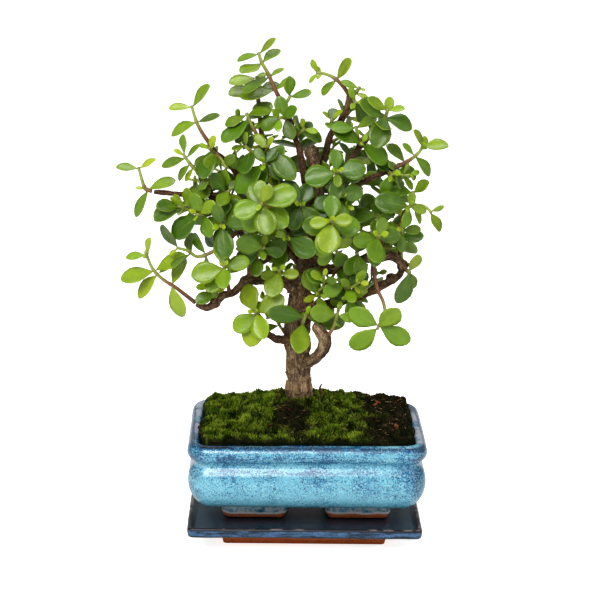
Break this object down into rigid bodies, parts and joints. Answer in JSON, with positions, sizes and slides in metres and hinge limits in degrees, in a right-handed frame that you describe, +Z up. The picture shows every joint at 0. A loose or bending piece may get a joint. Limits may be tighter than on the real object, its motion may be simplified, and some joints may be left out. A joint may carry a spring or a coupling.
{
  "type": "dwarf jade bonsai",
  "caption": "Dwarf jade bonsai: a thick trunk with forked limbs and rounded fleshy leaves, set in mossed soil in a speckled blue glazed pot with feet, on a dark glazed saucer.",
  "frame": {"origin": "middle of the saucer's flat foot, on the surface that it stands on", "axes": "+Z up the trunk, -Y the front of the pot, +X its right end as seen from the front"},
  "size_m": [0.2069, 0.139, 0.319],
  "materials": {
    "saucer_glaze": "gloss",
    "pot_glaze": "gloss",
    "drain_mesh": "matte",
    "soil": "matte",
    "moss": "matte",
    "bark": "matte",
    "leaf": "satin"
  },
  "bodies": {
    "root": {"saucer": "saucer_glaze", "pot": "pot_glaze", "drain_mesh_left": "drain_mesh", "drain_mesh_right": "drain_mesh", "soil": "soil", "moss": "moss", "trunk": "bark", "spray_01": "leaf", "spray_02": "leaf", "spray_03": "leaf", "spray_04": "leaf", "spray_05": "leaf", "spray_06": "leaf", "spray_07": "leaf", "spray_08": "leaf", "spray_09": "leaf", "spray_10": "leaf", "spray_11": "leaf", "spray_12": "leaf", "spray_13": "leaf", "spray_14": "leaf", "spray_15": "leaf", "spray_16": "leaf", "spray_17": "leaf", "spray_18": "leaf", "spray_19": "leaf", "spray_20": "leaf", "spray_21": "leaf", "spray_22": "leaf", "spray_23": "leaf", "spray_24": "leaf", "spray_25": "leaf", "spray_26": "leaf", "spray_27": "leaf", "spray_28": "leaf", "spray_29": "leaf", "spray_30": "leaf", "spray_31": "leaf", "spray_32": "leaf", "spray_33": "leaf", "spray_34": "leaf", "spray_35": "leaf", "spray_36": "leaf", "spray_37": "leaf", "spray_38": "leaf", "spray_39": "leaf", "spray_40": "leaf", "spray_41": "leaf", "spray_42": "leaf", "spray_43": "leaf", "spray_44": "leaf", "spray_45": "leaf", "spray_46": "leaf", "spray_47": "leaf", "spray_48": "leaf", "spray_49": "leaf", "spray_50": "leaf", "spray_51": "leaf", "spray_52": "leaf", "spray_53": "leaf"}
  },
  "joints": []
}
